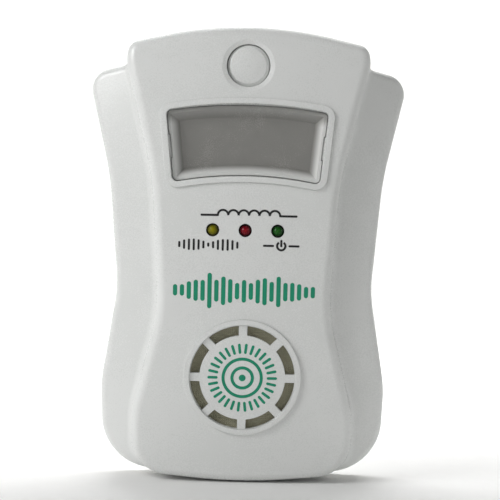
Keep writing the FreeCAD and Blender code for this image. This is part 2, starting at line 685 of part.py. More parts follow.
def night_light():
    """Dished lens caught by two nibs in the window, light box behind it and three round lamps."""
    edge, foot = "-well_inset-lens_gap", "(well_back-0.2)"
    mouth = prism(window_line, edge, foot, "lens_rim")
    flange = prism(window_line, "bead_width-0.3", f"{foot}-lens_thk", foot)
    dish = flare(f"{edge}-lens_strip-lens_dish", "lens_rim-lens_dish", "lens_rim+0.01", 45)
    back = prism(window_line, f"{edge}-lens_strip-0.4", f"{foot}-lens_thk-1", "lens_rim-lens_dish-lens_thk")
    catch = cut(block(0, "tab_up", "lens_rim-1.2", "window_top_half*2+6", "tab_height+0.5", 2),
                prism(window_line, f"{edge}-tab_reach", "lens_rim-2", "lens_rim+2"))
    place(cut(join(mouth, flange), dish, back, catch), "night_light_lens")
    front = f"({foot}-lens_thk)"
    outer = prism(window_line, 0.4, "board_back+board_thk", front)
    inner = prism(window_line, -0.9, "board_back+board_thk-1", f"{front}+1")
    place(cut(outer, inner), "light_box")
    lamps = []
    for spot in (-1, 0, 1):
        x = f"{spot}*13"
        lamps.append(join(rod(x, "tab_up", "board_back+board_thk", 2.9, 1.0),
                          rod(x, "tab_up", "board_back+board_thk", 2.5, 5.6),
                          dome(x, "tab_up", "board_back+board_thk+5.6", 2.5)))
    place(group(*lamps), "night_light_lamps")


def push_button():
    """Domed cap with a retaining flange, over a two-part push switch."""
    crown = [
        (0, "button_top-plunger_top"), ("button_width/2-3.4", "button_top-plunger_top-0.12"),
        ("button_width/2-0.9", "button_top-plunger_top-0.45"),
        ("button_width/2", "button_top-plunger_top-1.3"),
        ("button_width/2", "sleeve_back-plunger_top-0.2"),
        ("button_flange/2", "sleeve_back-plunger_top-0.2"),
        ("button_flange/2", "sleeve_back-plunger_top-1.6"),
        ("button_width/2-1.3", "sleeve_back-plunger_top-1.6"),
        ("button_width/2-1.3", "button_top-plunger_top-2.6"), (2.6, "button_top-plunger_top-2.6"),
        (2.6, 0), (0, 0),
    ]
    place(turned("button_cap", crown), "push_button", 0, "button_up", "plunger_top")
    foot = "(board_back+board_thk)"
    case = cut(block(0, 0, 0, "switch_side", "switch_side", "switch_height"),
               block(0, 0, 0.6, "plunger_side+0.3", "plunger_side+0.3", "switch_height"))
    place(case, "switch_body", 0, "button_up", foot)
    place(block(0, 0, 0, "plunger_side", "plunger_side", f"plunger_top-{foot}-2.4"), "switch_plunger", 0,
          "button_up", f"{foot}+2.4")


def axial(label, spots, bulk, length, span, lead, height, along="x"):
    """Round-bodied parts lying along one axis behind the board, with bent leads up to it."""
    items = []
    for x, y in spots:
        level = f"board_back-{height}"
        if along == "x":
            bits = [rod(f"{x}-{length}/2", y, level, bulk / 2, length, "x"),
                    rod(f"{x}-{span}/2", y, level, lead / 2, span, "x")]
            feet = [(f"{x}-{span}/2", y), (f"{x}+{span}/2", y)]
        else:
            bits = [rod(x, f"{y}-{length}/2", level, bulk / 2, length, "y"),
                    rod(x, f"{y}-{span}/2", level, lead / 2, span, "y")]
            feet = [(x, f"{y}-{span}/2"), (x, f"{y}+{span}/2")]
        for fx, fy in feet:
            ball = doc.addObject("Part::Sphere", "bend")
            bind(ball, "Radius", lead / 2)
            bits += [at(ball, fx, fy, level), rod(fx, fy, level, lead / 2, height)]
        items.append(join(*bits))
    place(group(*items), label)


def board_parts():
    """Mains dropper, rectifier, smoothing, controller and output stage, all on the wall side."""
    def hang(label, shape_of, x, y, tall):
        place(shape_of(), label, x, y, f"board_back-{tall}")

    hang("dropper_capacitor", lambda: block(0, 0, 0, 18, 8, 11.5), -17, -20, 11.5)
    hang("smoothing_capacitor", lambda: join(rod(0, 0, 0, 4, 11), rod(0, 0, 11, 3.6, 0.5)), 9, -19, 11.5)
    axial("fuse_resistor", [(-23, 2)], 3.6, 9, 13, 0.8, 2.6, "y")
    axial("rectifier_diodes", [(22, 8 - 4.6 * k) for k in range(4)], 2.7, 5, 8.6, 0.8, 1.9)
    axial("resistors", [(-20, -31 - 3.6 * k) for k in range(2)]
          + [(-7, -29), (-7, -32.6), (-7, -36.2), (20, -13)],
          2.3, 6.2, 9.6, 0.6, 1.6)
    body = block(0, 0, 0.7, 6.4, 9.5, 3.3)
    pins = []
    for k in range(4):
        for side in (-1, 1):
            y = (k - 1.5) * 2.54
            pins += [block(side * 3.6, y, 2.2, 1.0, 0.6, 0.5), block(side * 3.85, y, 2.2, 0.5, 0.6, 2.3)]
    place(join(body, *pins), "controller_chip", 6, -35, "board_back-4.5")
    flat = cut(rod(0, 0, 0, 2.4, 4.6), block(0, -3.2, -1, 8, 4, 8))
    legs = [small_lead(leg, 0, 4.6, 6.2, 0.5) for leg in (-1.27, 0, 1.27)]
    place(join(flat, *legs), "drive_transistor", 18, -30, "board_back-6.2")
    drum = turned("choke_core", [(0, 0), (4, 0), (4, 1.2), (2, 1.2), (2, 6.8), (4, 6.8), (4, 8), (0, 8)])
    place(drum, "step_up_choke_core", 16, -40, "board_back-8")
    place(ring(0, 0, 1.2, 3.5, 2, 5.6), "step_up_choke_winding", 16, -40, "board_back-8")


# ---------------------------------------------------------------- speaker

def speaker():
    """Screen glued behind the slots, ring gasket, dished housing with ears, paper cone and driving disc."""
    disc = rod(0, "grille_up", "speaker_seat-5", "mouth_half-0.1", 20)
    place(grille_band(disc, "mouth_half+1", "wall_thk+0.02", "wall_thk+0.02+screen_thk"), "sound_screen")
    seat = "(speaker_seat-gasket_thk)"
    place(ring(0, 0, 0, "speaker_half-0.3", "mouth_half", "gasket_thk"), "speaker_gasket", 0,
          "grille_up", seat)
    profile = [("speaker_half", 0), ("speaker_half", -1.8), ("speaker_half-2.5", -1.8), (11.5, -6.6),
               (0, -6.6),
               (0, -5.4), (10.9, -5.4), ("speaker_half-3.5", -1), ("speaker_half-3.5", 0)]
    dish = turned("speaker_dish", profile)
    ear = block(0, 0, -1.8, "speaker_screw_x*2+6", 6, 1.8)
    hub = rod(0, 0, -3, "speaker_half-2.5", 5)
    ears = cut(ear, hub, *[rod(f"{side}*speaker_screw_x", 0, -3, "speaker_screw_width/2+0.2", 5)
                           for side in (-1, 1)])
    place(join(dish, ears), "speaker_housing", 0, "grille_up", seat)
    rim = "speaker_half-3.9"
    cone_profile = [(rim, -0.7), (9.2, -3.4), (0, -3.4), (0, -3.8), (9.35, -3.8), (rim, -1.15)]
    place(turned("paper_cone", cone_profile), "speaker_cone", 0, "grille_up", seat)
    place(rod(0, 0, -4.2, 8.6, 0.4), "piezo_disc", 0, "grille_up", seat)
    place(ring(0, 0, -5.4, 8.8, 7.4, 1.2), "piezo_support_ring", 0, "grille_up", seat)


# ---------------------------------------------------------------- field coil

def field_coil():
    """Wound bobbin on a round core, lying across the foot of the rear cover."""
    place(rod("-core_length/2", 0, 0, "core_width/2", "core_length", "x"), "field_coil_core", 0,
          "coil_up", "coil_fwd")
    tube = ring("-bobbin_half", 0, 0, "core_width/2+1.05", "core_width/2+0.05", "bobbin_half*2", "x")
    ends = [ring(start, 0, 0, "bobbin_flange/2", "core_width/2+0.05", 1.2, "x")
            for start in ("-bobbin_half", "bobbin_half-1.2")]
    place(join(tube, *ends), "field_coil_bobbin", 0, "coil_up", "coil_fwd")
    place(ring("-bobbin_half+1.2", 0, 0, "bobbin_flange/2-0.5", "core_width/2+1.05",
               "bobbin_half*2-2.4", "x"),
          "field_coil_winding", 0, "coil_up", "coil_fwd")


# ---------------------------------------------------------------- wires

def wire(stops, offset, radius, plane="YZ"):
    """Round wire swept along a flat route of straight runs and tangent bends."""
    path = []
    for i, (u, v) in enumerate(stops):
        bend = 0
        if 0 < i < len(stops) - 1:
            a, b, c = [V(num(p), num(q), 0) for p, q in stops[i - 1:i + 2]]
            half_turn = (b - a).getAngle(c - b) / 2
            bend = 0.45 * min(a.distanceToPoint(b), b.distanceToPoint(c)) / math.tan(half_turn)
        path.append((u, v, bend))
    sk = doc.addObject("Sketcher::SketchObject", "wire_route")
    turn = FreeCAD.Rotation(V(1, 1, 1), 120) if plane == "YZ" else FreeCAD.Rotation(V(1, 0, 0), 90)
    shift = (offset, 0, 0) if plane == "YZ" else (0, offset, 0)
    at(sk, *shift, turn)
    draw(sk, path, closed=False)
    loop = doc.addObject("Part::Circle", "wire_section")
    loop.Radius = radius
    u, v = stops[0]
    first = (offset, u, v) if plane == "YZ" else (u, offset, v)
    a, b = [turn.multVec(V(num(p), num(q), 0)) for p, q in stops[:2]]
    at(loop, *first, FreeCAD.Rotation(V(0, 0, 1), b - a))
    doc.recompute()
    sweep = doc.addObject("Part::Sweep", "wire")
    sweep.Sections = [loop]
    sweep.Spine = (sk, [f"Edge{i + 1}" for i in range(len(sk.Shape.Edges))])
    sweep.Solid = True
    sweep.Frenet = False
    return sweep


def wires():
    """Mains wires, speaker leads and coil leads, each ending on its terminal."""
    tail = "insert_front+clamp_thk+1.6"
    for label, side in (("neutral_wire", -1), ("live_wire", 1)):
        stops = [(f"{side}*blade_spacing/2", tail), (f"{side}*blade_spacing/2", f"{tail}+2"),
                 (f"{side}*15.5", f"{tail}+2"), (f"{side}*15.5", "board_back")]
        place(wire(stops, 0, 0.55, "XZ"), label)
    speaker_back = "speaker_seat-gasket_thk-6.6"
    leads = []
    for side in (-1, 1):
        stops = [("grille_up+7.5", speaker_back), ("grille_up+7.5", f"{speaker_back}-2.4"),
                 ("board_foot_up+2", f"{speaker_back}-2.4"), ("board_foot_up+2", "board_back")]
        leads.append(wire(stops, side * 3.5, 0.45))
    place(group(*leads), "speaker_leads")
    leads = []
    for side in (-1, 1):
        stops = [("coil_up+bobbin_flange/2", "coil_fwd"), ("board_foot_up+4", "coil_fwd"),
                 ("board_foot_up+4", "board_back")]
        leads.append(wire(stops, f"{side}*(bobbin_half-6)", 0.45))
    place(group(*leads), "field_coil_leads")


front_cover()
rear_cover()
plug()
case_screws()
small_screws("board_screws", BOARD_POSTS, "board_back", 2.2, "board_screw_width", 7)
small_screws("speaker_screws", SPEAKER_POSTS, "speaker_seat-gasket_thk-1.8", 1.9, "speaker_screw_width", 6)
main_board()
indicator_lamps()
night_light()
push_button()
board_parts()
speaker()
field_coil()
wires()
place(block(0, -50, 0, 42, 24, 0.25), "rating_label")

doc.recompute()
for obj in doc.Objects:
    if "Invalid" in obj.State or "Error" in obj.State:
        raise RuntimeError(f"{obj.Name} ({obj.Label}) failed")
for obj in PARTS:
    if obj.Shape.isNull() or not obj.Shape.isValid():
        raise RuntimeError(f"{obj.Label} has no valid shape")

os.makedirs("parts", exist_ok=True)
for obj in PARTS:
    obj.Shape.exportStep(f"parts/{obj.Label}.step")
    print(f"{obj.Label:26s} solids {len(obj.Shape.Solids)}  volume {obj.Shape.Volume:9.1f} mm3")
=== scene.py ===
# %% [markdown]
# # A plug-in ultrasonic pest repeller
# The packed engineering model gives every solid its shape and place.
# This lesson dresses those solids in real finishes, adds the printed marks
# that are too thin to be solids, and sets a small photo studio round them.

# %% Load the packed model
import math

import bpy
import numpy as np
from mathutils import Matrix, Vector


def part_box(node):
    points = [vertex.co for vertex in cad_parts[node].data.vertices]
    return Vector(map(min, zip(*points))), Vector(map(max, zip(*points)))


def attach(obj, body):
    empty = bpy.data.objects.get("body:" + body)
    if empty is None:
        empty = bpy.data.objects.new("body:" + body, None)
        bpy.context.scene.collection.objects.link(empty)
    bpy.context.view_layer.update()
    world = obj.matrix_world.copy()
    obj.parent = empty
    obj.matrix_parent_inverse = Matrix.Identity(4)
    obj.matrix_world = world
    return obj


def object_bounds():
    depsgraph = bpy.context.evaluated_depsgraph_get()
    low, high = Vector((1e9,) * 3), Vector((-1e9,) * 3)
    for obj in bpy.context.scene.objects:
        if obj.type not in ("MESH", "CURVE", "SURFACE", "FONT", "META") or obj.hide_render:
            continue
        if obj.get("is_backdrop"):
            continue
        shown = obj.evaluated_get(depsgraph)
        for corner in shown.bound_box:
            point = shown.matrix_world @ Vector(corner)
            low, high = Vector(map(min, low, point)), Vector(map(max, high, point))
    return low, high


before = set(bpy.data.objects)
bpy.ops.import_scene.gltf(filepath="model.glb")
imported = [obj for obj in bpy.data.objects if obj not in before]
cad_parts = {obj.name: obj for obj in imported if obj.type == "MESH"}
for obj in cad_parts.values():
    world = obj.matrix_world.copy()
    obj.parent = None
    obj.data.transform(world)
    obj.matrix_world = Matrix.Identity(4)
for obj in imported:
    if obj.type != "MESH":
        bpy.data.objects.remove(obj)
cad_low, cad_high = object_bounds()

MM = 0.001
print("box in mm:", [round(v / MM, 1) for v in (*cad_low, *cad_high)])

# %% [markdown]
# ## Colour
# Paint charts and screens give colours as sRGB hex values, but the shader adds
# light, so it wants linear numbers. They could be turned by hand, one by one.
# One function does the turning for every finish, so no value is turned twice.

# %% From a hex value to linear colour
def linear(hex_value):
    """Each sRGB channel c becomes c / 12.92 near black, else ((c + 0.055) / 1.055) to the power 2.4."""
    channels = [int(hex_value[i:i + 2], 16) / 255 for i in (1, 3, 5)]
    return tuple(c / 12.92 if c <= 0.04045 else ((c + 0.055) / 1.055) ** 2.4 for c in channels) + (1.0,)


print("white ABS in linear light:", [round(c, 3) for c in linear("#eceeea")])

# %% [markdown]
# ## The first node helper
# A shader graph is nodes joined socket to socket. Written out, each node takes
# four or five lines. This helper makes one node, sets it and links it in one line,
# so a finish reads as the list of what feeds what.

# %% One function that adds a node with its settings and links
def add(mat, kind, feeds=None, **settings):
    """Node of a kind; settings are its properties, feeds gives a socket a value or another node's output."""
    node = mat.node_tree.nodes.new(kind)
    for key, value in settings.items():
        setattr(node, key, value)
    for socket, value in (feeds or {}).items():
        if isinstance(value, bpy.types.NodeSocket):
            mat.node_tree.links.new(value, node.inputs[socket])
        else:
            node.inputs[socket].default_value = value
    return node


print("nodes are added by", add.__name__)

# %% [markdown]
# ## What every finish shares
# No moulded or plated surface is one flat number. A soft cloud some millimetres
# wide changes the colour and the gloss a little, as uneven cooling does, and a fine
# grain gives the texture of the tool. The object is in metres, so a grain of
# g mm is a noise of scale 1000 / g. An image texture could hold this too, but
# noise in Object coordinates needs no unwrapping and stays sharp at any distance.

# %% The shared finish
EDGE_SAMPLES = 4


def finish(name, light, dark, rough, grain, bump, blotch=9.0, edge=0.0, **shader):
    """Colour runs from dark to light and roughness from low to high with the sum of a cloud and a grain.

    The grain also lifts the surface by bump. edge is the radius by which the shader eases sharp edges,
    where a mould always leaves one. grain, bump, blotch and edge are in mm.
    """
    mat = bpy.data.materials.new(name)
    mat.use_nodes = True
    skin = mat.node_tree.nodes["Principled BSDF"]
    place = add(mat, "ShaderNodeTexCoord").outputs["Object"]
    cloud = add(mat, "ShaderNodeTexNoise", {"Vector": place, "Scale": 1 / (blotch * MM), "Detail": 3.0})
    fine = add(mat, "ShaderNodeTexNoise", {"Vector": place, "Scale": 1 / (grain * MM), "Detail": 2.0})
    both = add(mat, "ShaderNodeMath", {0: cloud.outputs["Fac"], 1: fine.outputs["Fac"]}, operation="ADD")
    spread = {"Value": both.outputs[0], "From Min": 0.6, "From Max": 1.4}
    share = add(mat, "ShaderNodeMapRange", spread)
    gloss = add(mat, "ShaderNodeMapRange", {**spread, "To Min": rough[0], "To Max": rough[1]})
    colour = add(mat, "ShaderNodeMix", {0: share.outputs[0], 6: linear(dark), 7: linear(light)},
                 data_type="RGBA")
    relief = {"Height": fine.outputs["Fac"], "Distance": bump * MM}
    if edge:
        relief["Normal"] = add(mat, "ShaderNodeBevel", {"Radius": edge * MM}, samples=EDGE_SAMPLES).outputs[0]
    bumped = add(mat, "ShaderNodeBump", relief)
    mat.node_tree.links.new(colour.outputs[2], skin.inputs["Base Color"])
    mat.node_tree.links.new(gloss.outputs[0], skin.inputs["Roughness"])
    mat.node_tree.links.new(bumped.outputs[0], skin.inputs["Normal"])
    for socket, value in shader.items():
        skin.inputs[socket.replace("_", " ")].default_value = value
    return mat


def wear(mat, *nodes):
    """Give carried-over solids a finish."""
    for node in nodes:
        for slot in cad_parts[node].material_slots:
            slot.material = mat


print("a finish is", finish.__doc__.splitlines()[0])

# %% [markdown]
# ## The white housing
# The housing and the push button are injection-moulded ABS from a polished mould:
# a cool white, glossy but not mirror-like, with edges that a mould always softens.
# The wall side comes from a spark-eroded mould, so it is the same plastic with a
# duller, finely pitted face.

# %% Housing plastics
# a polished mould gives broad soft highlights
polished = finish("abs_white_polished_mould", "#e6e7e6", "#e3e5e3", (0.25, 0.30), 0.35, 0.0008,
                  blotch=25.0, edge=0.35, IOR=1.54)
wear(polished, "front_cover", "push_button")
# spark erosion scatters the highlight into a dull sheen
wear(finish("abs_white_spark_eroded", "#e2e2df", "#dfdfdb", (0.44, 0.52), 0.25, 0.008,
            blotch=20.0, IOR=1.54), "rear_cover")
# unpolished nylon inside, a little yellow
wear(finish("nylon_natural_moulded", "#e2ddcb", "#d8d2bd", (0.45, 0.6), 0.3, 0.004, IOR=1.53),
     "plug_insert", "field_coil_bobbin", "piezo_support_ring", "switch_plunger")
# black glass-filled nylon, slightly fibrous
wear(finish("nylon_black_glass_filled", "#232425", "#17181a", (0.4, 0.6), 0.2, 0.006, IOR=1.53),
     "blade_clamp_plate", "switch_body", "lamp_spacer")
print("finishes so far:", len(bpy.data.materials))

# %% [markdown]
# ## Ribs and threads
# A coil is wire laid side by side and a speaker screen is threads over and under.
# Both read as rounded ribs at an even pitch. They could be modelled turn by turn,
# at a great cost in triangles; a sine wave in the height gives the same light and
# shade. The wave texture repeats every pi / 10 of its own unit, which sets the scale.

# %% Rib relief
def ribs(mat, axis, pitch, depth):
    """Height is the sine of 2 pi times the distance along an axis over the pitch; pitch and depth in mm."""
    skin = mat.node_tree.nodes["Principled BSDF"]
    place = add(mat, "ShaderNodeTexCoord").outputs["Object"]
    wave = add(mat, "ShaderNodeTexWave", {"Vector": place, "Scale": math.pi / 10 / (pitch * MM)},
               bands_direction=axis, wave_profile="SIN")
    under = skin.inputs["Normal"].links[0].from_socket
    relief = add(mat, "ShaderNodeBump", {"Height": wave.outputs["Fac"], "Distance": depth * MM,
                                         "Normal": under})
    mat.node_tree.links.new(relief.outputs[0], skin.inputs["Normal"])
    return mat


# such screens have finer threads; a pitch of 0.6 mm lets the weave show at this distance
screen = finish("polyester_screen_woven", "#a3a08a", "#8c8974", (0.7, 0.85), 0.3, 0.02, blotch=3.0)
wear(ribs(ribs(screen, "X", 0.6, 0.08), "Z", 0.6, 0.08), "sound_screen")
# enamelled wire keeps the copper's colour under a clear gloss
for node, axis in (("field_coil_winding", "X"), ("step_up_choke_winding", "Y")):
    coil = finish("copper_enamelled_wound_" + axis.lower(), "#b8683a", "#96491f", (0.22, 0.35), 0.4, 0.002,
                  Metallic=1.0, Coat_Weight=0.6)
    wear(ribs(coil, axis, 0.35, 0.1), node)
print("ribbed finishes:", [m.name for m in bpy.data.materials if "wo" in m.name])

# %% [markdown]
# ## The night-light lens
# The lens is clear polycarbonate with a frosted dish. Its thick rim gathers light
# and looks nearly white, while the thin floor shows the dim box behind it.
# Real refraction would need a bright box and many bounces. The look depends only on
# how deep a point lies in the dish, so this light and shade are painted into the colour, blended by depth
# instead.

# %% Lens plastic
lens_low, lens_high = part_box("night_light_lens")
DISH_DEPTH = 2.2 * MM
SHADE_START, SHADE_END = 8 * MM, 5 * MM
lens = finish("polycarbonate_frosted_moulded", "#8b8a86", "#83827f", (0.2, 0.3), 0.3, 0.001,
              edge=0.3, IOR=1.58)
lens_skin = lens.node_tree.nodes["Principled BSDF"]
lens_place = add(lens, "ShaderNodeSeparateXYZ", {0: add(lens, "ShaderNodeTexCoord").outputs["Object"]})
depth = add(lens, "ShaderNodeMapRange",
            {"Value": lens_place.outputs["Y"], "From Min": lens_low.y + DISH_DEPTH,
             "From Max": lens_low.y, "To Min": 0.0, "To Max": 1.0}, interpolation_type="SMOOTHSTEP")
floor_colour = lens_skin.inputs["Base Color"].links[0].from_socket
# the top of the rim lies in the shade of the well, so it stays darker
shade = add(lens, "ShaderNodeMapRange",
            {"Value": lens_place.outputs["Z"], "From Min": lens_high.z - SHADE_START,
             "From Max": lens_high.z - SHADE_END, "To Min": 1.0, "To Max": 0.2},
            interpolation_type="SMOOTHSTEP")
lit = add(lens, "ShaderNodeMath", {0: depth.outputs[0], 1: shade.outputs[0]}, operation="MULTIPLY")
# painted light: the front of the rim is painted near white for the light it gathers, fading to the floor's
# grey
painted_rim_light = add(lens, "ShaderNodeMix", {0: lit.outputs[0], 6: floor_colour, 7: linear("#dcdddb")},
            data_type="RGBA")
lens.node_tree.links.new(painted_rim_light.outputs[2], lens_skin.inputs["Base Color"])
wear(lens, "night_light_lens")
# the box behind is white to send the light forward, the lamps are clear resin over a pale chip
wear(finish("polystyrene_white_moulded", "#e8e8e4", "#dededa", (0.5, 0.6), 0.3, 0.003), "light_box")
wear(finish("epoxy_clear_cast", "#f0efe4", "#e2dfc8", (0.08, 0.14), 0.5, 0.0005, IOR=1.55, Coat_Weight=1.0),
     "night_light_lamps")
print("lens dish", round(DISH_DEPTH / MM, 1), "mm deep, front at", round(lens_low.y / MM, 1))

# %% [markdown]
# ## The indicator lamps
# An unlit lamp is tinted epoxy cast round a small pale cup. The tint is deepest at
# the side, where the eye looks through most resin, and lighter over the cup.
# Distance from the lamp's own axis gives that blend, so it needs no extra piece.

# %% Lamp resins
TINTS = {"yellow": ("#8a8500", "#545100"), "red": ("#880014", "#50000e"), "green": ("#1e5e18", "#043808")}
for tint, (over_cup, side) in TINTS.items():
    node = "indicator_lamp_" + tint
    low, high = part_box(node)
    middle, radius = (low + high) / 2, (high.x - low.x) / 2
    resin = finish("epoxy_tinted_cast_" + tint, side, side, (0.18, 0.24), 0.5, 0.0005, IOR=1.55,
                   Specular_IOR_Level=0.2)
    skin = resin.node_tree.nodes["Principled BSDF"]
    place = add(resin, "ShaderNodeTexCoord").outputs["Object"]
    offset = add(resin, "ShaderNodeVectorMath", {0: place, 1: middle}, operation="SUBTRACT")
    across = add(resin, "ShaderNodeVectorMath", {0: offset.outputs[0], 1: (1, 0, 1)}, operation="MULTIPLY")
    reach = add(resin, "ShaderNodeVectorMath", {0: across.outputs[0]}, operation="LENGTH")
    share = add(resin, "ShaderNodeMapRange", {"Value": reach.outputs["Value"], "From Min": 0.0,
                                              "From Max": radius * 0.95}, interpolation_type="SMOOTHSTEP")
    side_colour = skin.inputs["Base Color"].links[0].from_socket
    tinted = add(resin, "ShaderNodeMix", {0: share.outputs[0], 6: linear(over_cup), 7: side_colour},
                 data_type="RGBA")
    resin.node_tree.links.new(tinted.outputs[2], skin.inputs["Base Color"])
    wear(resin, node)
    print(node, "radius", round(radius / MM, 2), "mm")

# %% [markdown]
# ## Metals
# A metal's colour is its reflection, so Metallic is 1 and the hex value is the
# colour of its highlight. Nickel plate is slightly warm, zinc slightly blue, and
# black zinc is a thin dark film. Grain and roughness say how each was worked.

# %% Plated and worked metals
# nickel over drawn brass: fine lines blur the highlight
wear(finish("brass_nickel_plated", "#d6d2c6", "#c4bfb0", (0.2, 0.32), 0.12, 0.002, Metallic=1.0),
     "live_blade", "neutral_blade")
# bright zinc on rolled screws: cool and a little cloudy
wear(finish("steel_bright_zinc_plated", "#c3c7cb", "#a9adb3", (0.25, 0.42), 0.2, 0.003, Metallic=1.0),
     "board_screws", "speaker_screws", "clamp_screws")
# black zinc: dark, with a dull shine on the drive recess
wear(finish("steel_black_zinc_plated", "#4a4b4e", "#38393c", (0.3, 0.5), 0.2, 0.003, Metallic=1.0),
     "case_screws")
# tinned leads, soft and bright
wear(finish("copper_tinned_drawn", "#cfd0cf", "#b9bab9", (0.25, 0.4), 0.15, 0.002, Metallic=1.0),
     "indicator_lamp_leads")
# turned soft iron, grey with a trace of oil
wear(finish("soft_iron_turned", "#77777a", "#5f5f62", (0.35, 0.5), 0.15, 0.004, Metallic=1.0),
     "field_coil_core")
# rolled brass disc of the sounder
wear(finish("brass_rolled", "#cba35a", "#b98f45", (0.25, 0.4), 0.15, 0.002, Metallic=1.0), "piezo_disc")
print("metals:", sum("plated" in m.name or "brass" in m.name for m in bpy.data.materials))

# %% [markdown]
# ## The circuit board and its parts
# The board is glass-epoxy laminate under green solder mask. The parts come from
# different makers, so each has the finish of its own kind: dipped, moulded, sleeved
# or sintered. They are out of sight here, but a cut-away of the model shows them.

# %% Electronics
# solder mask: thin gloss over a faint weave of glass cloth
mask = finish("laminate_green_solder_mask", "#2f6b3c", "#275c33", (0.3, 0.42), 0.3, 0.003,
              blotch=5.0, IOR=1.5)
wear(ribs(ribs(mask, "X", 0.8, 0.01), "Z", 0.8, 0.01), "main_board")
# box film capacitor: smooth yellow case
wear(finish("polyester_yellow_box", "#d6a526", "#c8971b", (0.3, 0.42), 0.3, 0.002), "dropper_capacitor")
# shrunk sleeve over a drawn can: soft satin
wear(finish("pvc_sleeve_shrunk", "#2d3350", "#232844", (0.35, 0.5), 0.5, 0.004), "smoothing_capacitor")
# cement and lacquer coatings: chalky, then glossy
wear(finish("cement_coated_resistor", "#7fa89d", "#6b9489", (0.5, 0.65), 0.2, 0.006), "fuse_resistor")
wear(finish("lacquer_tan_dipped", "#cbb07d", "#b99c68", (0.3, 0.45), 0.3, 0.004), "resistors")
# moulded epoxy bodies: near black with a fine matt grain
wear(finish("epoxy_black_moulded", "#1f2022", "#141517", (0.45, 0.62), 0.12, 0.003),
     "rectifier_diodes", "controller_chip", "drive_transistor")
# sintered ferrite: dark grey, gritty
wear(finish("ferrite_sintered", "#3b3b3e", "#2c2c2f", (0.6, 0.75), 0.15, 0.01), "step_up_choke_core")
print("finishes so far:", len(bpy.data.materials))

# %% [markdown]
# ## Speaker, wires and label
# The sounder is a pressed paper cone in a moulded frame, sealed by a foam ring.
# Wires are soft PVC. The label is a blank silver film: a real one carries ratings
# and marks, which this part leaves out.

# %% Soft and printed materials
# moulded polypropylene frame: waxy grey
wear(finish("polypropylene_grey_moulded", "#4b4b48", "#3e3e3b", (0.45, 0.6), 0.3, 0.004), "speaker_housing")
# closed-cell foam: no highlight at all
wear(finish("foam_closed_cell", "#3a3a38", "#2c2c2a", (0.85, 0.95), 0.4, 0.05), "speaker_gasket")
# pressed paper: dry, with visible fibres
wear(finish("paper_pressed", "#a89f8c", "#958c79", (0.8, 0.92), 0.25, 0.02, blotch=2.0), "speaker_cone")
# soft PVC insulation: rubbery sheen, one colour for each job
for node, light, dark in (("live_wire", "#242424", "#1a1a1a"), ("neutral_wire", "#dcdcd6", "#cfcfc8"),
                          ("speaker_leads", "#a02024", "#8c181c"),
                          ("field_coil_leads", "#22305c", "#1a264d")):
    wear(finish("pvc_extruded_" + node, light, dark, (0.4, 0.52), 0.3, 0.003), node)
# metallised film: pale and satin
wear(finish("polyester_film_silver", "#c9cbcc", "#bcbec0", (0.28, 0.4), 0.3, 0.002, Metallic=0.6),
     "rating_label")
dressed = {slot.material.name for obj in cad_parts.values() for slot in obj.material_slots}
print(len(dressed), "finishes on", len(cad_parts), "nodes")

# %% [markdown]
# ## Printed marks
# The housing is pad-printed: a film of ink some hundredths of a millimetre thick
# that follows the crowned panel. A picture could carry it, but a picture blurs close
# up. Here each mark is a thin closed band of ink, carried along a path drawn in
# x and z and laid on the panel. The panel is turned twice: an arc across, swung
# about an axis behind it to give the bow, so its depth at any x, z is a formula.

# %% The face of the panel
FRONT, CROWN, BOW, CREST = 35.2 * MM, 260 * MM, 320 * MM, -10 * MM
INK_OVER, INK_UNDER = 0.04 * MM, 0.03 * MM


def panel_depth(x, z):
    """The across arc falls by crown minus the root of crown squared less x squared.

    What is left of the bow radius is the hypotenuse whose one leg is the height above the crest,
    and the other leg is how far the face stands out.
    """
    swing = BOW - CROWN + np.sqrt(CROWN ** 2 - x ** 2)
    return FRONT - BOW + np.sqrt(swing ** 2 - (z - CREST) ** 2)


lamp_low, lamp_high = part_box("indicator_lamp_red")
lamp_row = (lamp_low + lamp_high) / 2
screen_low, screen_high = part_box("sound_screen")
grille = (screen_low + screen_high) / 2
print("panel face at the lamps", round(float(panel_depth(0.0, lamp_row.z)) / MM, 2), "mm from the wall")

# %% [markdown]
# ## Bands of ink
# A band has a width that may change along its path, which gives bars with round
# ends, dots and rings from one idea. Each station of the path becomes four corners,
# two above the face and two below, and neighbouring stations join into a closed strip.

# %% From a path to a closed band
def band(path, half_width, closed=False):
    """Corners lie half_width to each side of the path, along its normal, just over and under the face."""
    along = (np.roll(path, -1, 0) - np.roll(path, 1, 0)) if closed else np.gradient(path, axis=0)
    along = along / np.linalg.norm(along, axis=1, keepdims=True)
    side = np.stack([-along[:, 1], along[:, 0]], 1) * np.asarray(half_width)[..., None]
    left, right = path + side, path - side
    corners = []
    for edge, lift in ((left, INK_OVER), (right, INK_OVER), (right, -INK_UNDER), (left, -INK_UNDER)):
        x, z = edge.T
        corners.append(np.stack([x, -(panel_depth(x, z) + lift), z], 1))
    verts = np.stack(corners, 1).reshape(-1, 3)
    count = len(path)
    start = np.arange(count if closed else count - 1)[:, None] * 4
    step = (start + 4) % (count * 4)
    k = np.arange(4)[None]
    faces = np.stack([start + k, step + k, step + (k + 1) % 4, start + (k + 1) % 4], -1).reshape(-1, 4)
    if not closed:
        last = (count - 1) * 4
        faces = np.vstack([faces, [[3, 2, 1, 0]], [[last, last + 1, last + 2, last + 3]]])
    return verts, faces


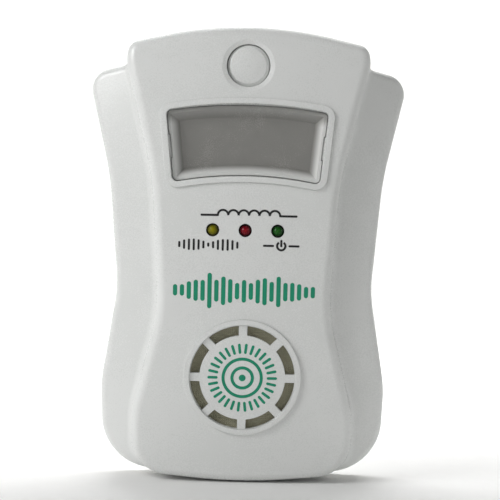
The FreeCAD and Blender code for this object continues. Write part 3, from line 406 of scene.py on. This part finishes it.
def bar(a, b, width):
    """Straight bar with round ends: half width is the root of r squared less the square of the overrun."""
    a, b, r = np.array(a, float), np.array(b, float), width / 2
    length = np.linalg.norm(b - a)
    way = (b - a) / length if length > 0 else np.array([1.0, 0.0])
    turn = np.linspace(0.08, math.pi / 2, 8)
    s = np.concatenate([-r * np.cos(turn), np.linspace(0, length, 9)[1:-1] if length > 0 else [],
                        length + r * np.cos(turn[::-1])])
    s = np.unique(np.round(s, 9))
    past = np.maximum(np.maximum(-s, s - length), 0)
    return band(a + s[:, None] * way, np.sqrt(np.maximum(r ** 2 - past ** 2, 0)))


def arc(centre, radius, start, stop, width, steps=40):
    """Ring or part ring: x is radius times the cosine, z is radius times the sine of the angle in degrees."""
    whole = abs(stop - start) >= 360
    t = np.radians(np.linspace(start, stop, steps, endpoint=not whole))
    path = np.array(centre) + radius * np.stack([np.cos(t), np.sin(t)], 1)
    return band(path, np.full(len(t), width / 2), closed=whole)


print("a bar has", len(bar((0, -0.03), (0, -0.04), 0.001)[0]), "corners")

# %% [markdown]
# ## From arrays to a piece
# Every new mesh is made the same way, and every mark rides on the housing
# and is printed in its own ink.

# %% Mesh and ink helpers
def mesh_object(name, verts, faces, smooth=True):
    """Object at the origin whose mesh holds the corners in metres."""
    mesh = bpy.data.meshes.new(name)
    mesh.from_pydata(verts.tolist(), [], faces.tolist())
    mesh.polygons.foreach_set("use_smooth", np.full(len(mesh.polygons), smooth))
    mesh.update()
    obj = bpy.data.objects.new(name, mesh)
    bpy.context.scene.collection.objects.link(obj)
    return obj


def printed(name, bands, ink):
    """One mark from several bands: corner numbers are shifted by how many corners came before."""
    shift = np.cumsum([0] + [len(verts) for verts, _ in bands[:-1]])
    verts = np.vstack([verts for verts, _ in bands])
    faces = np.vstack([faces + first for (_, faces), first in zip(bands, shift)])
    obj = mesh_object(name, verts, faces, smooth=False)
    obj.data.materials.append(ink)
    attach(obj, "housing")
    print(name, len(faces), "faces")
    return obj


# two-part printing ink: opaque, slightly less glossy than the moulding round it
black_ink = finish("ink_black_pad_printed", "#161618", "#101012", (0.4, 0.5), 0.2, 0.001)
green_ink = finish("ink_green_pad_printed", "#019672", "#008663", (0.4, 0.5), 0.2, 0.001)

# %% [markdown]
# ## Marks beside the lamps
# Each lamp has a small black mark that says what it shows. Plain signs stand in for
# words: the coil symbol of circuit drawings for the field coil, a burst of bars for
# the sounder, and the ring and stroke found on power switches.

# %% Coil, burst and power signs
LINE = 0.62 * MM
# the coil symbol is centred over the row, above it by the same step as the other two are below
COIL_SHIFT = 1.0 * MM
ROW_GAP = 4.3 * MM
COIL_BUMPS = 6
BUMP = 3.0 * MM
COIL_TAIL = 6.2 * MM
# the burst has bars of swelling length
BURST_SHIFT = -10.6 * MM
BURST_HALF_SPAN = 8.4 * MM
BURST_BARS = 13
BURST_MIN, BURST_SWELL = 0.25 * MM, 1.15 * MM
# the power sign has an open ring, a stroke up from its middle and a dash each side
POWER_SHIFT = 10.5 * MM
POWER_RING = 1.2 * MM
RING_OPENS, RING_CLOSES = 125, 415
POWER_STROKE = 1.5 * MM
DASH_FROM, DASH_TO = 2.4 * MM, 5.0 * MM

coil_z = lamp_row.z + ROW_GAP
coil_x = lamp_row.x + COIL_SHIFT + (np.arange(COIL_BUMPS) - (COIL_BUMPS - 1) / 2) * BUMP
coil = [arc((x, coil_z), BUMP / 2, 0, 180, LINE, steps=20) for x in coil_x]
for side, x in ((-1, coil_x[0]), (1, coil_x[-1])):
    coil.append(bar((x + side * BUMP / 2, coil_z), (x + side * COIL_TAIL, coil_z), LINE))
printed("mark_coil", coil, black_ink)

sign_z = lamp_row.z - ROW_GAP
burst_x = lamp_row.x + BURST_SHIFT + np.linspace(-BURST_HALF_SPAN, BURST_HALF_SPAN, BURST_BARS)
burst_half = BURST_MIN + BURST_SWELL * np.abs(np.sin(np.linspace(0.3, 5.9, BURST_BARS)))
printed("mark_burst", [bar((x, sign_z - half), (x, sign_z + half), LINE)
                       for x, half in zip(burst_x, burst_half)], black_ink)

power_x = lamp_row.x + POWER_SHIFT
power = [arc((power_x, sign_z), POWER_RING, RING_OPENS, RING_CLOSES, LINE),
         bar((power_x, sign_z), (power_x, sign_z + POWER_STROKE), LINE)]
for side in (-1, 1):
    power.append(bar((power_x + side * DASH_FROM, sign_z), (power_x + side * DASH_TO, sign_z), LINE))
printed("mark_power", power, black_ink)

# %% [markdown]
# ## The green decoration
# The panel carries a wide green band of print and a round one on the grille's disc.
# A level pattern, bars whose heights swell and fall, fills the first, and a dial of
# ticks and dots the second: shapes that say sound and belong to nobody.

# %% Level bars and grille dial
LEVELS = 21
LEVEL_HALF_SPAN = 20
LEVEL_DROP = 17.6 * MM
LEVEL_BAR = 1.25 * MM
# two swells, left and right of the middle: place, width and height of each
LEFT_SWELL, RIGHT_SWELL = (-9, 7, 1.0), (8, 8, 0.85)


def swell(x, place, width, height):
    """Height times e to the power minus the square of the distance from the place over the width."""
    return height * np.exp(-((x - place) / width) ** 2)


level_z = lamp_row.z - LEVEL_DROP
level_x = np.linspace(-LEVEL_HALF_SPAN, LEVEL_HALF_SPAN, LEVELS)
swells = swell(level_x, *LEFT_SWELL) + swell(level_x, *RIGHT_SWELL)
# neighbouring bars differ by a fast cosine, so that the pattern looks like sound and not like a hill
FLICKER_SHARE, FLICKER_RATE = 0.28, 1.9
flicker = 1 - FLICKER_SHARE + FLICKER_SHARE * np.cos(level_x * FLICKER_RATE)
LEVEL_MIN, LEVEL_SWELL = 0.7, 3.9
level_half = (LEVEL_MIN + LEVEL_SWELL * swells * flicker) * MM
levels = [bar((x * MM, level_z - half), (x * MM, level_z + half), LEVEL_BAR)
          for x, half in zip(level_x, level_half)]
printed("mark_levels", levels, green_ink)

DIAL_TICKS = 30
TICK_FROM, TICK_TO, TICK_WIDTH = 7.6 * MM, 9.8 * MM, 0.8 * MM
RING_RADII = (5.6 * MM, 3.0 * MM)
RING_STEPS = (72, 48)
RING_WIDTH = 0.9 * MM
DOT_WIDTH = 2.0 * MM
centre = (grille.x, grille.z)
dial = []
for turn in np.arange(DIAL_TICKS) * 2 * math.pi / DIAL_TICKS:
    way = np.array([math.cos(turn), math.sin(turn)])
    dial.append(bar(centre + way * TICK_FROM, centre + way * TICK_TO, TICK_WIDTH))
for radius, steps in zip(RING_RADII, RING_STEPS):
    dial.append(arc(centre, radius, 0, 360, RING_WIDTH, steps=steps))
dial.append(bar(centre, centre, DOT_WIDTH))
printed("mark_dial", dial, green_ink)

# %% [markdown]
# ## The studio floor
# A photographer curves a sheet of paper from floor to wall so that no corner shows.
# The same shape is a disc whose rim turns up: a profile of radius and height,
# turned about the vertical. It is staging, not part of the object.

# %% Paper cove
def cove(radius, bend, height, rings=48, turns=96):
    """Radius and height follow the profile: flat, a quarter circle, then straight up; turned about Z."""
    s = np.linspace(0, 1, rings)
    angle = np.clip((s - 0.5) / 0.3, 0, 1) * math.pi / 2
    r = np.where(s < 0.5, s / 0.5 * radius, radius + bend * np.sin(angle))
    z = bend * (1 - np.cos(angle)) + np.clip((s - 0.8) / 0.2, 0, 1) * height
    t = np.linspace(0, 2 * math.pi, turns, endpoint=False)
    grid = np.stack([np.outer(r, np.cos(t)), np.outer(r, np.sin(t)), np.repeat(z[:, None], turns, 1)], -1)
    i, j = np.meshgrid(np.arange(rings - 1), np.arange(turns), indexing="ij")
    a, b = i * turns + j, i * turns + (j + 1) % turns
    quads = np.stack([a, a + turns, b + turns, b], -1).reshape(-1, 4)
    return grid.reshape(-1, 3), quads


FLOOR_RADIUS, FLOOR_BEND, FLOOR_WALL = 0.9, 0.35, 0.5
FLOOR_GAP = 0.5 * MM
verts, faces = cove(FLOOR_RADIUS, FLOOR_BEND, FLOOR_WALL)
verts[:, 2] += cad_low[2] - FLOOR_GAP
floor = mesh_object("studio_floor", verts, faces)
# uncoated paper: dry and even, with no highlight
floor.data.materials.append(finish("paper_pale_matt", "#f6f6f5", "#f3f3f2", (0.8, 0.9), 4.0, 0.01))
floor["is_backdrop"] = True
print("floor at", round((cad_low[2] - FLOOR_GAP) / MM, 1), "mm")

# %% [markdown]
# ## Light
# The main light is a soft disc high on the left, so each edge that faces it is
# bright and the right-hand wing falls into shade. A weak fill and an overhead light
# keep the shade open, and one lamp behind the object lifts the paper to white.

# %% Soft lights and surroundings
def soft_light(name, where, aim, size, watts):
    """Disc lamp at a place, turned so that its -Z axis points at the aim."""
    lamp = bpy.data.lights.new(name, "AREA")
    lamp.shape = "DISK"
    lamp.size = size
    lamp.energy = watts
    obj = bpy.data.objects.new(name, lamp)
    obj.location = where
    obj.rotation_euler = (Vector(aim) - Vector(where)).to_track_quat("-Z", "Y").to_euler()
    bpy.context.scene.collection.objects.link(obj)
    return obj


TARGET = (0, 0, -0.03)
soft_light("key", (-0.62, -0.42, 0.36), TARGET, 0.40, 3.35)
soft_light("fill", (0.6, -0.6, 0.1), TARGET, 0.6, 0.12)
soft_light("overhead", (0, 0.1, 0.8), TARGET, 0.7, 0.62)
soft_light("paper", (0, 0.30, 0.45), (0, 0.9, -0.1), 0.6, 7.5)
world = bpy.data.worlds.new("studio")
bpy.context.scene.world = world
world.use_nodes = True
world.node_tree.nodes["Background"].inputs["Color"].default_value = (1, 1, 1, 1)
world.node_tree.nodes["Background"].inputs["Strength"].default_value = 0.19

# %% [markdown]
# ## Camera
# The camera stands level with the middle of the device, 400 mm from the wall, with
# a long lens and a slight roll. Standard view keeps white plastic white.

# %% Camera
camera = bpy.data.cameras.new("camera")
camera.lens = 91.2
camera.sensor_width = 36
eye = bpy.data.objects.new("camera", camera)
eye.location = (0.0015, -0.400, -0.0343)
eye.rotation_euler = (math.radians(90), math.radians(-1.21), 0)
bpy.context.scene.collection.objects.link(eye)
bpy.context.scene.camera = eye
bpy.context.scene.view_settings.view_transform = "Standard"
print("camera", [round(v, 4) for v in eye.location])

# %% Sizes and finish
low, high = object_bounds()
